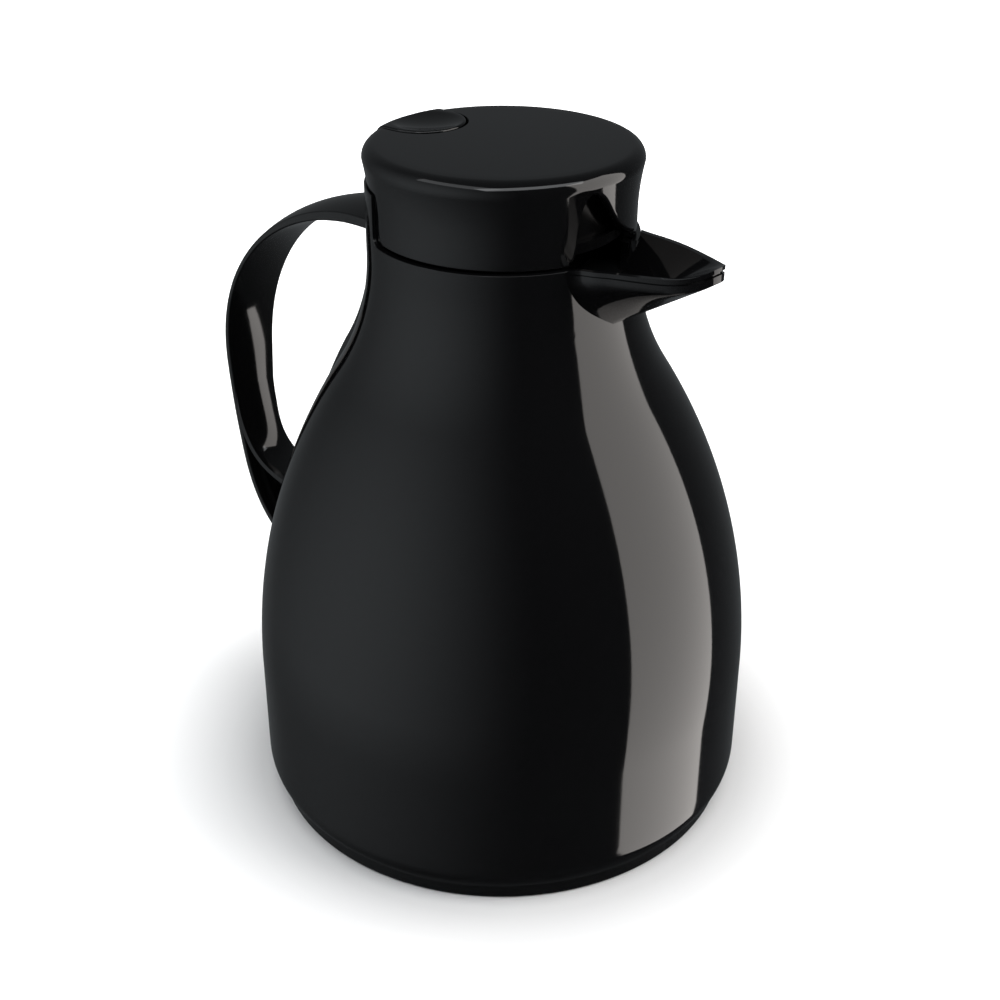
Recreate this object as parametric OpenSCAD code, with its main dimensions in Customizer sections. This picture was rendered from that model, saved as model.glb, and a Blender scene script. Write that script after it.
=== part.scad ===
// Insulated serving jug with a glass flask, a long pouring lip and a ribbon handle.
// The lid lifts straight off. A thumb lever in the lid raises a spring-closed pouring valve.
// Millimetres, +Z up. z = 0 is the table, the lip points to +X and the handle to -X.

/* [Body] */
// How far the foot ring lies inside the belly
foot_in = 3.6; // [3:0.1:5]
// Height of the foot ring under the body shell
foot_h = 6; // [5:0.5:8]
// Largest radius of the body
belly_r = 81.5; // [74:0.5:98]
// Height at which the wall starts to lean inwards
belly_top = 46; // [38:1:56]
// Height of the joint line between body and lid
seam_z = 194; // [162:1:233]
// Radius of the neck
neck_r = 41; // [40:0.5:50]
// Length of the upright neck below the joint line
neck_len = 7.2; // [6:0.2:9]
// Radius of the hollow curve from shoulder to neck
neck_blend = 72; // [50:1:90]
// Radius that tucks the wall in above the foot
tuck_r = 10.6; // [9:0.2:14]
// Wall of the outer shell
shell_wall = 2.2; // [1.8:0.1:2.6]

/* [Flask] */
// Air space between the shell and the flask
flask_air = 16.3; // [14:0.1:24]
// Wall of both glass flasks
glass_t = 1.6; // [1.2:0.1:2]
// Vacuum gap between the two flasks
vac_gap = 3.4; // [2.8:0.1:4]
// Inner radius of the flask's neck
mouth_r = 24.4; // [20:0.1:25]
// Height of the flask's floor above the foot ring
flask_lift = 8; // [6:0.5:10]

/* [Pouring lip] */
// How far the tip stands out from the neck
lip_len = 35.5; // [29:0.5:43]
// Half of the lip's width where it leaves the neck
lip_half = 21.3; // [19:0.1:23]
// Rise of the rim from the neck to the tip
lip_rise = 4; // [2:0.5:7]
// Depth of the keel below the rim at the neck
keel_drop = 24; // [18:0.5:28]
// Wall of the lip
lip_wall = 1.8; // [1.6:0.1:2.4]
// Width of the rim seen from above
rim_w = 1.6; // [1.2:0.1:2]

/* [Handle] */
// How far the outside of the grip stands out from the belly
grip_out = 38.7; // [34:0.1:47]
// Height of the strap's top at the neck, below the joint line
strap_drop = 3.5; // [3:0.1:6]
// Thickness of the strap
strap_t = 3.2; // [2.8:0.1:4]
// Half of the strap's width at the neck
strap_root = 15; // [13:0.5:17]
// Half of the strap's width at the top of the grip
strap_grip = 10.7; // [9:0.1:12]
// Half of the strap's width at the bottom
strap_tail = 7.5; // [7:0.1:9]

/* [Lid] */
// Height of the lid above the joint line
lid_h = 26; // [25:0.5:31]
// How far the lid's edge stands out from its waist
lid_flare = 1.7; // [1.2:0.1:2.5]
// How far the lid's waist lies inside the neck
lid_step = 1.2; // [1:0.1:1.6]
// Radius of the lid's top edge
lid_edge = 4; // [2.5:0.5:5]
// Wall of the lid
lid_wall = 2; // [1.6:0.1:2.2]
// Gap of the joint line
seam_gap = 0.7; // [0.5:0.1:1]
// Half angle of the rear cut-out, in degrees
notch_a = 62; // [55:1:66]
// Radius of the lid's corners beside the rear cut-out
corner_r = 3; // [1:0.5:5]
// Angle from the middle to the left foot of the front arch, in degrees
arch_left = 22.6; // [19:0.1:25]
// Angle from the middle to the right foot of the front arch, in degrees
arch_right = 27; // [22:0.5:29]
// Angle by which the top of the front arch leans to the left, in degrees
arch_lean = 12; // [0:0.5:14]
// Height of the front arch
arch_h = 19.9; // [14:0.1:20.5]
// Radius of the thumb pad
pad_r = 13; // [11:0.5:14]
// Depth of the dish in the pad
dish_depth = 1.5; // [1:0.1:2.5]
// How far the pad stands above the lid
pad_proud = 0.5; // [0.3:0.1:1]

/* [Valve] */
// Radius of the valve's stem
stem_r = 2.5; // [2:0.1:3]
// Radius of the hole that the valve closes
port_r = 8; // [6:0.5:9]
// Distance from the lever's pin to the stem
lever_arm = 12; // [10:0.5:14.5]
// Radius of the lever's pin
pin_r = 1.5; // [1.2:0.1:1.8]
// Turns of the closing spring
spring_turns = 5; // [3:1:6]

/* [Fits] */
// Gap between pieces that lie close
gap = 0.25; // [0.2:0.05:0.4]
// Radial clearance of pins and stems
run = 0.06; // [0.03:0.01:0.1]
// Gap round the thumb pad
pad_gap = 0.8; // [0.6:0.1:1]
// Radius of the screws
screw_r = 1.7; // [1.4:0.05:2.05]

/* [Hidden] */
$fn = 96;
eps = 0.01;

black = "#1a1b1d";
soft_black = "#242528";

// Body levels
foot_r = belly_r - foot_in;
shell_z = foot_h + 0.3;
shell_top = seam_z - seam_gap / 2;
neck_z = seam_z - neck_len;
tuck_h = 6.2;
tuck_z = shell_z + tuck_h;
tuck_a = asin(tuck_h / tuck_r);
plug_r = belly_r - tuck_r + (tuck_r - shell_wall) * cos(tuck_a) - gap;

// Flask
flask_r = belly_r - shell_wall - flask_air;
flask_z = foot_h + flask_lift;
flask_corner = 22;
flask_shoulder = belly_top + 26;
flask_neck_r = mouth_r + 2 * glass_t + 4;
flask_neck_z = neck_z - 18.8;
flask_blend = 50;
flask_top = neck_z - 9.8;

// Collar
collar_r = neck_r - shell_wall - gap;
collar_z = flask_top + 2.4;
collar_floor = neck_z - 0.8;
collar_top = shell_top - 0.6;
bore_r = mouth_r + 0.6;
ring_wall = 2.5;

// Pouring lip
lip_reach = neck_r + lip_len;
lip_x0 = neck_r - 3;
lip_z0 = seam_z + 1.6;
lip_tilt = atan(lip_rise / (lip_reach - lip_x0));
rim_h = 3.2;

// Handle
grip_reach = belly_r + grip_out;
strap_z = seam_z - strap_drop;
grip_z = seam_z - 74.4;
tail_z = belly_top - 5;
ledge_z = belly_top + 29.5;
hook_z = neck_z - 20;
hook_r = neck_r + neck_blend - sqrt(pow(neck_blend, 2) - pow(neck_z - hook_z, 2));
screw_zs = [belly_top + 10.5, belly_top + 21.5];
head_r = 2 * screw_r;
boss_wall = 2.3;

// Lid
lid_z = seam_z + seam_gap / 2;
lid_top = seam_z + lid_h;
waist_r = neck_r - lid_step;
lid_r = waist_r + lid_flare;
waist_z = lid_z + 6;
flare_z = lid_top - lid_edge;
flare_r = (pow(lid_r - waist_r, 2) + pow(flare_z - waist_z, 2)) / (2 * (lid_r - waist_r));
flare_a = asin((flare_z - waist_z) / flare_r);
plate_t = 2.2;
notch_z = seam_z + 15;
pad_x = 10 - lid_r;
pad_base = lid_top - 7;
dish_r = 10.8;
recess_r = neck_r - shell_wall - 0.5;
recess_wall = 1.8;

// Stopper and valve
stopper_r = bore_r - 0.4;
floor_z = seam_z + 2;
floor_t = 3;
deck_z = floor_z + floor_t;
seat_z = neck_z - 2.8;
seat_t = 3;
pin_x = -lever_arm;
pin_z = deck_z + 8;
head_z = pin_z + 2;
head_t = 2.4;
disc_z = seat_z + 0.6;
disc_t = 2.9;
plate_r = recess_r - recess_wall - 0.3;
press_a = 9;
dip_z = pad_base - (lid_r - lever_arm) * sin(press_a) - 0.8;
boss_r = stopper_r + head_r + 1;
fork_y = stem_r + 2.1;
boss_as = [45, 135, 225, 315];

// Points on an arc round c, from angle a0 to a1
function arc(c, r, a0, a1, n, first = 0) =
    [for (i = [first:n]) c + r * [cos(a0 + (a1 - a0) * i / n), sin(a0 + (a1 - a0) * i / n)]];

// Points on a cubic curve between p0 and p3
function curve(p0, p1, p2, p3, n, first = 0) =
    [for (i = [first:n]) let (t = i / n, s = 1 - t)
        s * s * s * p0 + 3 * s * s * t * p1 + 3 * s * t * t * p2 + t * t * t * p3];

function flip(list) = [for (i = [len(list) - 1:-1:0]) list[i]];

// Two tangent arcs from an upright wall at (r0, z0) to an upright neck at (r1, z1)
function s_curve(r0, z0, r1, z1, blend, off = 0) =
    let (phi = 2 * atan((r0 - r1) / (z1 - z0)), big = (z1 - z0) / sin(phi) - blend)
    concat(arc([r0 - big, z0], big - off, 0, phi, 10),
           arc([r1 + blend, z1], blend + off, 180 + phi, 180, 8, 1));

// The body's outer line, moved inwards by off
function body_line(off = 0) =
    concat(arc([belly_r - tuck_r, tuck_z], tuck_r - off, -tuck_a, 0, 4),
           s_curve(belly_r, belly_top, neck_r, neck_z, neck_blend, off));

// A flask's outer line from its floor up to its neck
function flask_line(r, z, corner, neck, off = 0) =
    concat([[0, z + off], [r - corner, z + off]],
           arc([r - corner, z + corner], corner - off, -90, 0, 8, 1),
           s_curve(r, flask_shoulder, neck, flask_neck_z, flask_blend, off));

// The body's radius at height z on the convex part of the wall
function belly_at(z) =
    let (phi = 2 * atan((belly_r - neck_r) / (neck_z - belly_top)), big = (neck_z - belly_top) / sin(phi) - neck_blend)
    belly_r - big + sqrt(pow(big, 2) - pow(z - belly_top, 2));

// Everything inside the body's outer line, grown by extra
module body_envelope(extra) {
    rotate_extrude()
        polygon(concat([[0, shell_z - 2], [(belly_r - tuck_r) + (tuck_r + extra) * cos(tuck_a), shell_z - 2]],
                       body_line(-extra), [[neck_r + extra, lid_top], [0, lid_top]]));
}

// A pie slice of the half angle a round +X
module slice(a, r, z0, z1) {
    reach = r / cos(a / 2);
    translate([0, 0, z0])
        linear_extrude(z1 - z0)
            polygon([[0, 0], reach * [cos(a), -sin(a)], reach * [cos(a / 2), -sin(a / 2)], [reach, 0],
                     reach * [cos(a / 2), sin(a / 2)], reach * [cos(a), sin(a)]]);
}

module ring(r0, r1, z0, z1) {
    rotate_extrude()
        translate([r0, z0])
            square([r1 - r0, z1 - z0]);
}

// A rod along X from x0 to x1
module rod_x(r, x0, x1, z) {
    translate([x0, 0, z])
        rotate([0, 90, 0])
            cylinder(r = r, h = x1 - x0, $fn = 32);
}

// Plan of the pouring lip, moved inwards by inset
module lip_plan(inset) {
    edge = curve([lip_x0, lip_half], [lip_x0 + 16, lip_half - 4.3], [lip_reach - 1, 12], [lip_reach, 0], 10);
    offset(delta = -inset)
        polygon(concat([[lip_x0 - 12, -lip_half - 1], [lip_x0 - 12, lip_half + 1]], edge,
                       [for (i = [9:-1:0]) [edge[i][0], -edge[i][1]]]));
}

// A slab of the lip's plan on the sloping rim plane, from low to high
module lip_slab(inset, low, high) {
    translate([lip_x0, 0, lip_z0])
        rotate([0, -lip_tilt, 0])
            translate([-lip_x0, 0, low])
                linear_extrude(high - low)
                    lip_plan(inset);
}

// The keeled form of the lip below its rim, its keel raised by root and tip
module lip_form(inset, root, tip, low, high, keel_w) {
    hull() {
        lip_slab(inset, low, high);
        translate([lip_x0 - 8, -keel_w, lip_z0 - keel_drop - 4.8 + root])
            cube([1, 2 * keel_w, 1]);
        translate([lip_reach - 5.5 - inset, -keel_w / 3, lip_z0 + lip_rise - 8 + tip])
            cube([0.5, keel_w / 1.5, 1]);
    }
}

module outer_shell() {
    color(black) {
        difference() {
            union() {
                rotate_extrude()
                    polygon(concat([[plug_r + gap, shell_z]], body_line(), [[neck_r, shell_top - 1], [neck_r - 0.8, shell_top]],
                                   [[neck_r - shell_wall, shell_top]], flip(body_line(shell_wall))));
                // Upright tongue that fills the lid's rear cut-out
                intersection() {
                    ring(neck_r - shell_wall, neck_r, shell_top - 2, notch_z - 0.6);
                    union() {
                        rotate([0, 0, 180])
                            slice(notch_a, neck_r + 2, shell_top - 2, notch_z);
                        for (m = [0, 1])
                            mirror([0, m, 0])
                                rotate([0, 0, 180 + notch_a - 0.05])
                                    corner(corner_r + seam_gap, shell_top - 0.03);
                    }
                }
                base_bosses();
            }
            // Way out for the lip, and the dip under the thumb pad
            translate([0, -lip_half + 5, collar_floor - 3])
                cube([neck_r + 5, 2 * lip_half - 10, 60]);
            translate([-neck_r - 5, -pad_r - 2.5, dip_z])
                cube([20, 2 * pad_r + 5, 20]);
            // Slot and holes for the handle
            translate([-hook_r - 5, -5 - gap, hook_z - 1.5 - gap])
                cube([10, 10 + 2 * gap, 3 + 2 * gap]);
            for (z = screw_zs)
                rod_x(screw_r + 0.2, -belly_r - 5, -belly_r + 12, z);
        }
    }
}

// Screw bosses inside the foot of the shell, each on a rib
module base_bosses() {
    for (a = boss_as)
        rotate([0, 0, a])
            difference() {
                union() {
                    translate([flask_r + 5, 0, foot_h + 0.2])
                        cylinder(r = screw_r + boss_wall, h = 22, $fn = 32);
                    translate([flask_r + 5, -1.25, foot_h + 8])
                        cube([belly_r - shell_wall - flask_r - 4.5, 2.5, 14]);
                }
                translate([flask_r + 5, 0, foot_h])
                    cylinder(r = screw_r + run, h = 16, $fn = 32);
            }
}

module base_cap() {
    color(black)
        difference() {
            rotate_extrude()
                polygon([[0, 0], [foot_r - 0.6, 0], [foot_r, 0.6], [foot_r + 0.9, foot_h - 0.5], [foot_r + 0.6, foot_h],
                         [plug_r, foot_h], [plug_r, foot_h + 6], [plug_r - 2.5, foot_h + 6], [plug_r - 2.5, foot_h],
                         [0, foot_h]]);
            // Hollows in the upper side
            translate([0, 0, 2.5])
                cylinder(r = 12, h = 10);
            ring(flask_r - flask_corner, flask_r - 2.5, 2.5, foot_h + 1);
            for (a = boss_as)
                rotate([0, 0, a])
                    translate([flask_r + 5, 0, 0]) {
                        translate([0, 0, -1])
                            cylinder(r = screw_r + 0.2, h = 20, $fn = 32);
                        translate([0, 0, -1])
                            cylinder(r = head_r + 0.3, h = 5.4, $fn = 32);
                    }
        }
}

module base_screws() {
    color("silver")
        for (a = boss_as)
            rotate([0, 0, a])
                translate([flask_r + 5, 0, 0]) {
                    translate([0, 0, 3.1])
                        cylinder(r = head_r, h = 1.25, $fn = 32);
                    translate([0, 0, 4.3])
                        cylinder(r = screw_r, h = 15, $fn = 32);
                }
}

module base_cushion() {
    color("dimgray")
        ring(12, flask_r - flask_corner - 1, foot_h + 0.05, flask_z - 0.05);
}

module flask_outer() {
    color("lightsteelblue")
        union() {
            rotate_extrude()
                polygon(concat(flask_line(flask_r, flask_z, flask_corner, flask_neck_r),
                               [[flask_neck_r, flask_top - 2.1], [flask_neck_r - glass_t, flask_top - 2.1]],
                               flip(flask_line(flask_r, flask_z, flask_corner, flask_neck_r, glass_t))));
            // Sealed pump-out tip
            translate([0, 0, flask_z - 5])
                cylinder(r1 = 1.2, r2 = 3, h = 5 + eps, $fn = 32);
        }
}

module flask_inner() {
    step = glass_t + vac_gap;
    neck = mouth_r + glass_t;
    color("lightsteelblue")
        rotate_extrude()
            polygon(concat(flask_line(flask_r - step, flask_z + step, flask_corner - step, neck),
                           [[neck, flask_top - 2], [flask_neck_r, flask_top - 2], [flask_neck_r, flask_top],
                            [mouth_r, flask_top]],
                           flip(flask_line(flask_r - step, flask_z + step, flask_corner - step, neck, glass_t))));
}

module flask_spacers() {
    color("tan")
        for (a = [0, 120, 240])
            rotate([0, 0, a])
                translate([flask_r - flask_corner - 8, 0, flask_z + glass_t + 0.1])
                    cylinder(r = 4, h = vac_gap - 0.2, $fn = 32);
}

module mouth_gasket() {
    color("dimgray")
        ring(mouth_r + 1.2, flask_neck_r, flask_top + 0.05, collar_z - 0.05);
}

module pour_collar() {
    wall_r = collar_r - ring_wall;
    color(black)
        difference() {
            union() {
                rotate_extrude()
                    polygon([[bore_r, collar_z], [bore_r + 4, collar_z], [bore_r + 4, collar_floor - 3],
                             [wall_r - 2, collar_floor - 3], [wall_r - 2, collar_z], [collar_r, collar_z],
                             [collar_r, collar_top], [wall_r, collar_top], [wall_r, collar_floor],
                             [bore_r + 1, collar_floor], [bore_r, collar_floor - 1]]);
                // Gutter under the lip's rim, and the rim itself
                difference() {
                    union() {
                        intersection() {
                            lip_form(lip_wall + 0.3 + gap, 3, 3, -rim_h - 0.5, -rim_h + eps, 4);
                            translate([0, -60, collar_floor - 2.6])
                                cube([120, 120, 60]);
                        }
                        lip_slab(0, -rim_h, 0);
                    }
                    translate([0, 0, collar_z - 1])
                        cylinder(r = collar_r - 0.5, h = 60);
                    lip_shoulders();
                }
            }
            // Channel from the collar's floor to the tip
            intersection() {
                lip_form(rim_w, 8, 5, 0, 8, 3.5);
                translate([bore_r + 1, -60, collar_floor])
                    cube([120, 120, 60]);
            }
        }
}

// Space of the neck and of the lid beside the lip
module lip_shoulders() {
    difference() {
        body_envelope(gap);
        translate([0, -lip_half + 5 + gap, 0])
            cube([60, 2 * lip_half - 10 - 2 * gap, lid_top + 5]);
    }
    difference() {
        cylinder(r = neck_r + gap, h = lid_top + 5);
        cylinder(r = neck_r + gap + 1, h = lid_z - 1.2);
    }
}

module lip_shell() {
    color(black)
        difference() {
            lip_form(0.3, 0, 0, -rim_h - 1, -rim_h - 0.05, 3);
            lip_form(lip_wall + 0.3, 2.8, 2.8, -rim_h - 1, 1, 4);
            body_envelope(0.1);
        }
}

// Side view of the strap: outer line, finger hole and the hollow at its foot
function strap_outer() =
    concat(curve([-neck_r - 1, strap_z], [-neck_r - 43, strap_z], [-grip_reach, grip_z + 43], [-grip_reach, grip_z], 12),
           curve([-grip_reach, grip_z], [-grip_reach, grip_z - 45], [-grip_reach + 2.7, tail_z + 12.6],
                 [-belly_r, tail_z], 12, 1));
function strap_inner() =
    concat(curve([-neck_r - 1, strap_z - strap_t], [-neck_r - 41, strap_z - strap_t], [-grip_reach + strap_t, grip_z + 42],
                 [-grip_reach + strap_t, grip_z + 1], 12),
           curve([-grip_reach + strap_t, grip_z + 1], [-grip_reach + strap_t, grip_z - 39.4],
                 [-grip_reach + 10, ledge_z + 5], [-belly_r, ledge_z], 12, 1));

module strap_side() {
    difference() {
        polygon(concat([[-neck_r + 8, strap_z]], strap_outer(), [[-belly_r + 8, tail_z], [-neck_r + 8, tail_z]]));
        polygon(concat([[-neck_r + 8, strap_z - strap_t]], strap_inner(), [[-belly_r + 8, ledge_z]]));
    }
}

// Half widths of the strap by reach (seen from above) and by height (seen from behind)
module strap_masks() {
    w = [[-neck_r + 8, strap_root + 0.5], [-neck_r - 1, strap_root], [-neck_r - 19, strap_root - 2.5],
         [-neck_r - 34, strap_grip + 0.6], [-neck_r - 49, strap_grip], [-grip_reach - 5, strap_grip]];
    h = [[strap_root + 2, seam_z], [strap_root + 2, seam_z - 22], [strap_grip, seam_z - 40],
         [strap_grip - 1.2, grip_z], [strap_tail + 0.8, grip_z - 20], [strap_tail, ledge_z + 9],
         [strap_tail, tail_z - 5]];
    intersection() {
        linear_extrude(seam_z)
            polygon(concat(w, [for (p = flip(w)) [p[0], -p[1]]]));
        rotate([90, 0, -90])
            linear_extrude(grip_reach + 10)
                polygon(concat(h, [for (p = flip(h)) [-p[0], p[1]]]));
    }
}

// Strip of the strap that lies along the body
module strap_back() {
    b = [[strap_root, strap_z], [strap_root, seam_z - 64], [strap_root + 2, seam_z - 90],
         [strap_tail + 3, ledge_z], [strap_tail, tail_z]];
    intersection() {
        rotate_extrude()
            polygon(concat([[belly_r - 20, shell_z]], body_line(-strap_t), [[neck_r + strap_t, seam_z], [neck_r - 4, seam_z],
                           [neck_r - 4, neck_z - 20]]));
        rotate([90, 0, -90])
            linear_extrude(belly_r + 20)
                polygon(concat(b, [for (p = flip(b)) [-p[0], p[1]]]));
    }
}

module handle() {
    color(black) {
        difference() {
            union() {
                difference() {
                    intersection() {
                        rotate([90, 0, 0])
                            translate([0, 0, -30])
                                linear_extrude(60)
                                    strap_side();
                        strap_masks();
                    }
                    // Hollows in both sides of the foot, with a web between them
                    for (side = [-1, 1])
                        translate([0, side * 18 + 15, 0])
                            rotate([90, 0, 0])
                                linear_extrude(30)
                                    offset(delta = -strap_t)
                                        intersection() {
                                            strap_side();
                                            translate([-grip_reach, tail_z])
                                                square([grip_reach - belly_r + 3, ledge_z - tail_z + 8]);
                                        }
                }
                strap_back();
                for (z = screw_zs)
                    rod_x(head_r, -belly_r - 14, -belly_r + 2, z);
            }
            body_envelope(gap);
            for (z = screw_zs)
                rod_x(screw_r + run, -belly_r - 12, -belly_r + 2, z);
        }
        // Hook that grips the shell from inside
        translate([-hook_r - 2, -5, hook_z - 1.5])
            cube([shell_wall + 5.5, 10, 3]);
        translate([-hook_r + shell_wall + 2, -5, hook_z - 1.5])
            cube([1.5, 10, 7]);
    }
}

module handle_screws() {
    color("silver")
        for (z = screw_zs) {
            inside = shell_wall + 0.2 * head_r + 0.12 - belly_at(z);
            rod_x(screw_r, -belly_r - 10, inside + 0.1, z);
            rod_x(head_r, inside, inside + 1.5, z);
        }
}

// The lid's outer line, raised by up
function lid_line(up = 0) =
    concat([[waist_r, lid_z + up]], arc([waist_r + flare_r, waist_z + up], flare_r, 180, 180 - flare_a, 6),
           arc([lid_r - lid_edge, flare_z + up], lid_edge, 0, 90, 8, 1));

// Arch over the lip, steep on its left and with a long slope on its right
module arch_cut() {
    left = -waist_r * sin(arch_left);
    right = waist_r * sin(arch_right);
    top = [-waist_r * sin(arch_lean), seam_z + arch_h];
    rotate([90, 0, 90])
        linear_extrude(lid_r + 5)
            polygon(concat([[left, lid_z - 2]],
                           curve([left, lid_z + 0.8], [left + 2.5, lid_z + 2], top + [-6, 2.7], top, 10),
                           curve(top, top + [8.1, -3.7], top + [6.4, -12.5], [right, lid_z + 0.8], 12, 1),
                           [[right, lid_z - 2]]));
}

// Hollow corner of radius r between an upright edge at y = 0 and a level edge at height z
module corner(r, z) {
    translate([recess_r, 0, z])
        rotate([90, 0, 90])
            linear_extrude(8)
                polygon(concat([[-0.5, -0.5], [r, -0.5]], arc([r, r], r, 270, 180, 6), [[-0.5, r]]));
}

// Plan of the thumb pad: a half disc with straight sides to the rim
module pad_plan(extra) {
    translate([pad_x, 0])
        circle(r = pad_r + extra);
    translate([-lid_r - 5, -pad_r - extra])
        square([lid_r + 5 + pad_x, 2 * (pad_r + extra)]);
}

module lid_cap() {
    color(soft_black)
        difference() {
            union() {
                difference() {
                    rotate_extrude()
                        polygon(concat([[0, lid_z]], lid_line(), [[0, lid_top]]));
                    rotate_extrude()
                        polygon([[0, lid_z - 1], [waist_r - lid_wall, lid_z - 1], [waist_r - lid_wall, waist_z],
                                 [lid_r - lid_wall, flare_z], [lid_r - lid_edge, lid_top - plate_t],
                                 [0, lid_top - plate_t]]);
                }
                for (a = boss_as)
                    rotate([0, 0, a])
                        translate([boss_r, 0, deck_z + 0.1])
                            cylinder(r = screw_r + boss_wall - 0.2, h = lid_top - plate_t - deck_z, $fn = 32);
                // Wall at the back of the rear cut-out
                intersection() {
                    ring(recess_r - recess_wall, waist_r - 0.5, lid_z, notch_z + 1.5);
                    rotate([0, 0, 180])
                        slice(notch_a + 6, neck_r, lid_z - 1, lid_top);
                }
            }
            for (m = [0, 1])
                mirror([0, m, 0])
                    rotate([0, 0, 180 + notch_a + 0.85])
                        corner(corner_r, lid_z - 0.03);
            rotate([0, 0, 180])
                difference() {
                    slice(notch_a + 0.9, neck_r + 6, lid_z - 1, notch_z);
                    cylinder(r = recess_r, h = lid_top);
                }
            arch_cut();
            translate([0, 0, pad_base - 5])
                linear_extrude(20)
                    pad_plan(pad_gap);
            for (a = boss_as)
                rotate([0, 0, a])
                    translate([boss_r, 0, deck_z])
                        cylinder(r = screw_r + run, h = 9, $fn = 32);
        }
}

module stopper() {
    color(black)
        difference() {
            union() {
                ring(0, plate_r, floor_z, deck_z);
                ring(0, stopper_r, seat_z - seat_t, floor_z + eps);
                // Splash wall behind the arch
                intersection() {
                    ring(plate_r - 4, plate_r - 2, deck_z - eps, lid_top - plate_t - gap);
                    slice(38, neck_r, deck_z - 1, lid_top);
                }
                // Ears for the lever's pin
                for (side = [-1, 1])
                    translate([pin_x - 3.5, side * 10.5 - 1.5, deck_z - eps])
                        cube([7, 3, pin_z - deck_z + 3.5]);
            }
            ring(0, stopper_r - 2, seat_z, floor_z);
            translate([0, 0, seat_z - seat_t - 1])
                cylinder(r = port_r, h = seat_t + 2);
            translate([0, 0, floor_z - 1])
                cylinder(r = stem_r + run, h = floor_t + 2, $fn = 48);
            // Window that lets the drink out to the lip
            translate([0, -12, collar_floor + 1])
                cube([stopper_r + 5, 24, floor_z - collar_floor - 2]);
            // Groove of the gasket
            ring(stopper_r - 0.8, stopper_r + 1, seat_z - seat_t + 0.6, seat_z - 0.4);
            translate([pin_x, 15, pin_z])
                rotate([90, 0, 0])
                    cylinder(r = pin_r + run / 2, h = 30, $fn = 48);
            for (a = boss_as)
                rotate([0, 0, a])
                    translate([boss_r, 0, floor_z - 1])
                        cylinder(r = screw_r + 0.2, h = 10, $fn = 32);
        }
}

module stopper_gasket() {
    color("dimgray")
        ring(stopper_r - 0.75, bore_r - 0.1, seat_z - seat_t + 0.65, seat_z - 0.45);
}

module lid_foam() {
    color("whitesmoke")
        intersection() {
            ring(8, stopper_r, lid_top - plate_t - 5.2, lid_top - plate_t - 0.05);
            slice(80, boss_r, 0, lid_top);
        }
}

module lid_screws() {
    color("silver")
        for (a = boss_as)
            rotate([0, 0, a])
                translate([boss_r, 0, 0]) {
                    translate([0, 0, floor_z - 1.6])
                        cylinder(r = head_r, h = 1.55, $fn = 32);
                    translate([0, 0, floor_z - 0.1])
                        cylinder(r = screw_r, h = floor_t + 7.5, $fn = 32);
                }
}

module thumb_lever() {
    color(soft_black)
        difference() {
            union() {
                // Dished pad, cut to the lid's outline
                difference() {
                    intersection() {
                        translate([0, 0, pad_base])
                            linear_extrude(20)
                                pad_plan(0);
                        rotate_extrude()
                            polygon(concat([[0, lid_z]], lid_line(pad_proud), [[0, lid_top + pad_proud]]));
                    }
                    dish_ball = (pow(dish_r, 2) + pow(dish_depth, 2)) / (2 * dish_depth);
                    translate([pad_x + 1.5, 0, lid_top + pad_proud - dish_depth + dish_ball])
                        sphere(r = dish_ball, $fn = 160);
                }
                // Arm from the pad to the pin, and hub
                rotate([90, 0, 0])
                    translate([0, 0, -6])
                        linear_extrude(12)
                            polygon([[pad_x, pad_base + 1], [pad_x, pad_base - 1.5], [pin_x - 3, pin_z - 2],
                                     [pin_x, pin_z - 3], [pin_x + 2, pin_z + 2], [pin_x - 6, pad_base + 1]]);
                translate([pin_x, 8.5, pin_z])
                    rotate([90, 0, 0])
                        cylinder(r = 3.2, h = 17, $fn = 48);
                // Fork under the stem's head
                for (side = [-1, 1]) {
                    translate([pin_x, side * fork_y - 1.4, pin_z - 2])
                        cube([lever_arm, 2.8, 2.6]);
                    translate([0, side * fork_y + 1.4, head_z - 1.45])
                        rotate([90, 0, 0])
                            cylinder(r = 1.3, h = 2.8, $fn = 32);
                }
            }
            translate([pin_x, 15, pin_z])
                rotate([90, 0, 0])
                    cylinder(r = pin_r + run, h = 30, $fn = 48);
        }
}

module lever_pin() {
    color("silver")
        translate([pin_x, 12, pin_z])
            rotate([90, 0, 0])
                cylinder(r = pin_r, h = 24, $fn = 48);
}

module valve_stem() {
    color("silver")
        union() {
            translate([0, 0, disc_z + 0.4])
                cylinder(r = stem_r, h = head_z - disc_z, $fn = 48);
            translate([0, 0, head_z])
                cylinder(r = stem_r + 3.5, h = head_t, $fn = 48);
        }
}

module valve_disc() {
    color(black)
        difference() {
            translate([0, 0, disc_z])
                cylinder(r = port_r + 3.5, h = disc_t);
            translate([0, 0, disc_z + 0.4])
                cylinder(r = stem_r + run / 2, h = 10, $fn = 48);
        }
}

module valve_seal() {
    color("dimgray")
        ring(port_r + 0.5, port_r + 3.3, seat_z + 0.05, disc_z);
}

// Closing spring round the stem
module valve_spring() {
    wire = 0.5;
    r = stem_r + 1.6;
    z0 = disc_z + disc_t + wire + 0.1;
    rise = floor_z - 0.1 - wire - z0;
    steps = 16 * spring_turns;
    pts = [for (i = [0:steps], k = [0:5])
        let (a = i * 360 / 16, b = k * 60, q = r + wire * cos(b))
        [q * cos(a), q * sin(a), z0 + rise * i / steps + wire * sin(b)]];
    sides = [for (i = [0:steps - 1], k = [0:5])
        let (m = (k + 1) % 6)
        each [[i * 6 + k, i * 6 + m, i * 6 + 6 + m], [i * 6 + k, i * 6 + 6 + m, i * 6 + 6 + k]]];
    color("silver")
        polyhedron(points = pts, faces = concat(sides, [[5, 4, 3, 2, 1, 0]], [[for (k = [0:5]) steps * 6 + k]]));
}

module stem_seal() {
    color("dimgray")
        ring(stem_r + run, stem_r + 2.5, deck_z + 0.05, deck_z + 1.5);
}

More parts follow.
